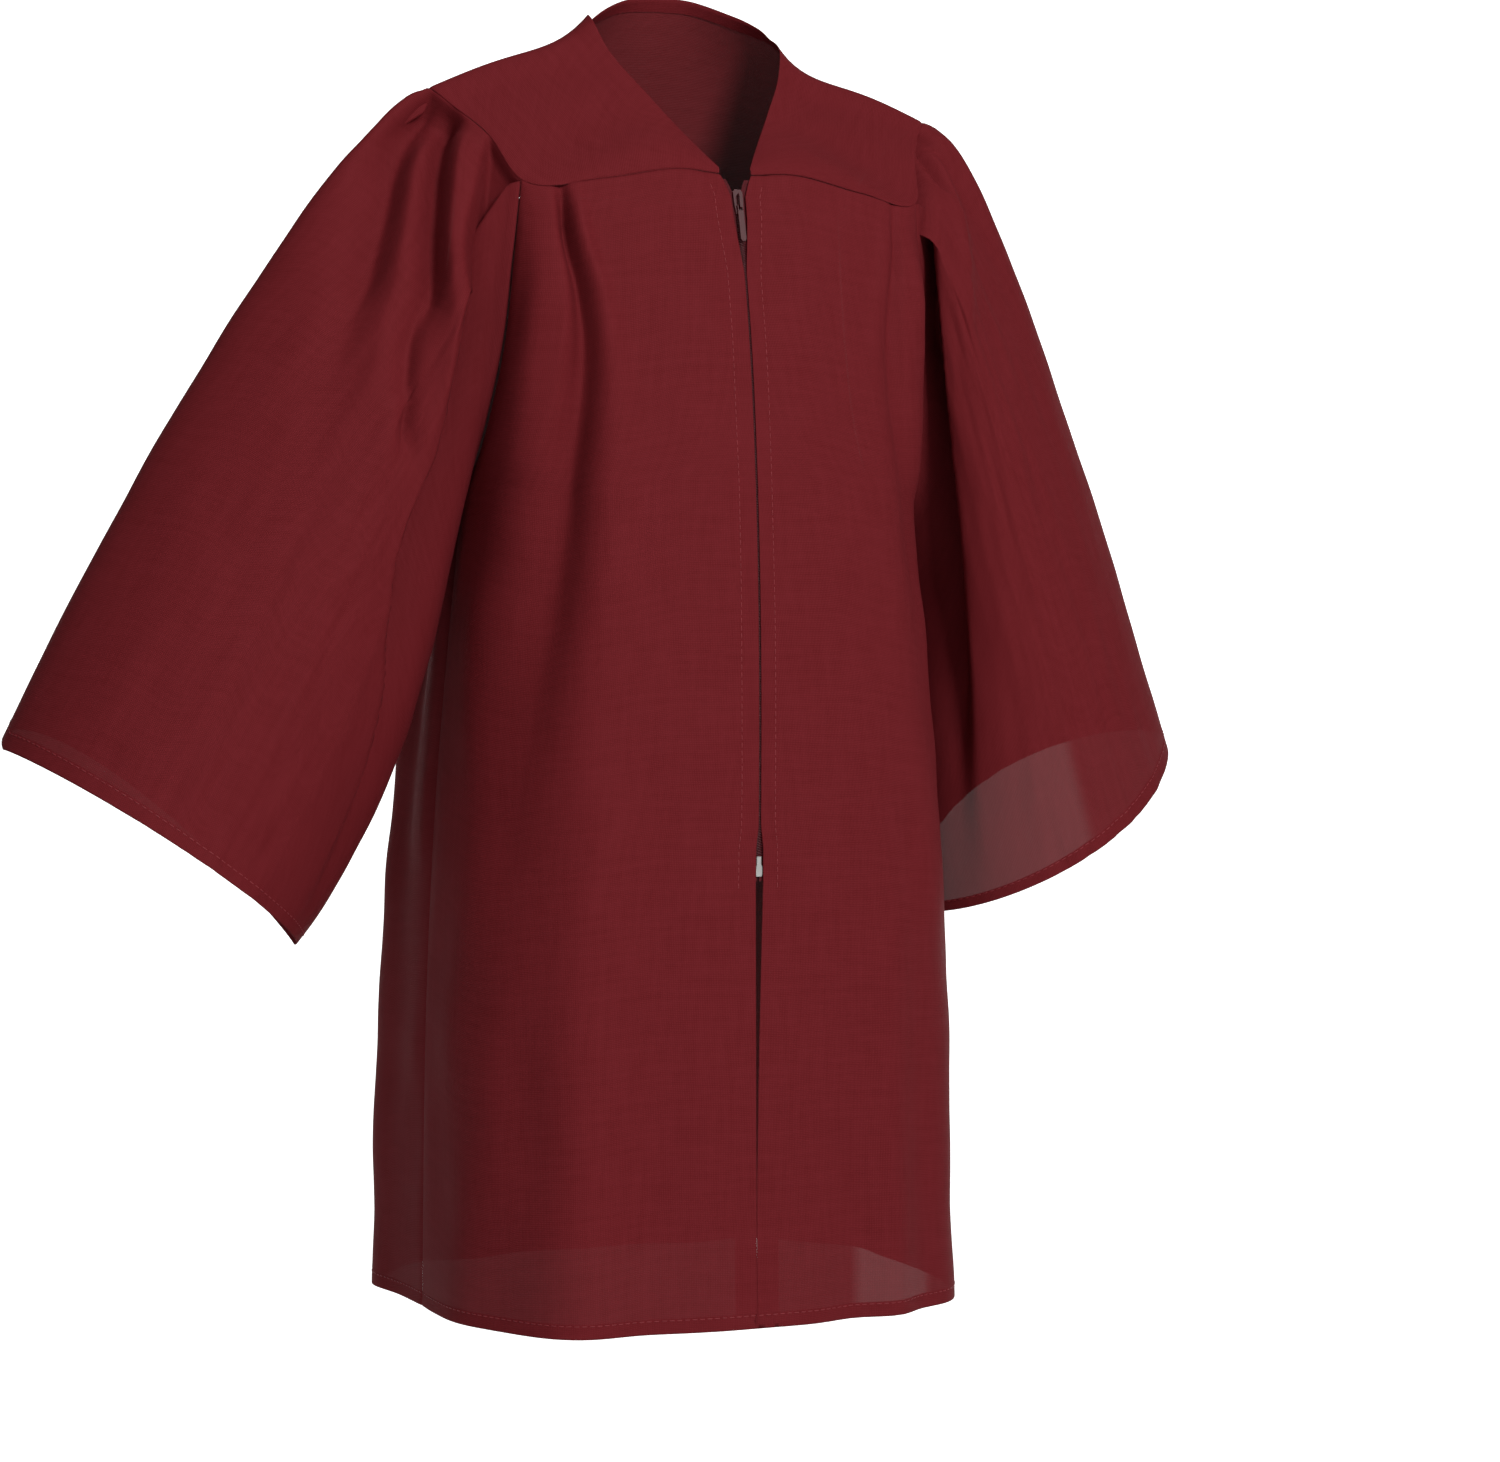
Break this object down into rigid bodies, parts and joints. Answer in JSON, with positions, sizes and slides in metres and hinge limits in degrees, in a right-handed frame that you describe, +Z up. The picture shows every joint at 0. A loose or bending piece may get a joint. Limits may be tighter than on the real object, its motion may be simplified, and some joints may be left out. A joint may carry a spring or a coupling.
{
  "type": "graduation gown",
  "caption": "Child's burgundy zip-front graduation gown with a V neck, bell sleeves and knife pleats, filled out as if worn.",
  "frame": {"origin": "midway between the two points where the neck edge crosses the tops of the shoulders, where the gown rests on its wearer", "axes": "+Z up the upright wearer's body, -Y out of the gown's front, +X to the wearer's left"},
  "size_m": [0.663, 0.2455, 0.6883],
  "materials": {
    "gown_cloth": "matte woven polyester",
    "zip_tape_cloth": "matte woven tape",
    "lacquered_zip_metal": "satin burgundy lacquer",
    "bare_zip_metal": "satin"
  },
  "bodies": {
    "gown": {"yoke": "gown_cloth", "front_left": "gown_cloth", "front_right": "gown_cloth", "back": "gown_cloth", "sleeve_left": "gown_cloth", "sleeve_right": "gown_cloth", "zip_tape_left": "zip_tape_cloth", "zip_tape_right": "zip_tape_cloth", "zip_slider": "lacquered_zip_metal", "zip_bottom_stop": "bare_zip_metal"},
    "pull_tab": {"zip_pull_tab": "lacquered_zip_metal"}
  },
  "joints": [
    {"name": "pull_tab_hinge", "type": "hinge", "parent": "gown", "child": "pull_tab", "pos_m": [0, -0.06834, -0.0995], "axis": [-1, 0, 0], "range_deg": [0, 120]}
  ]
}
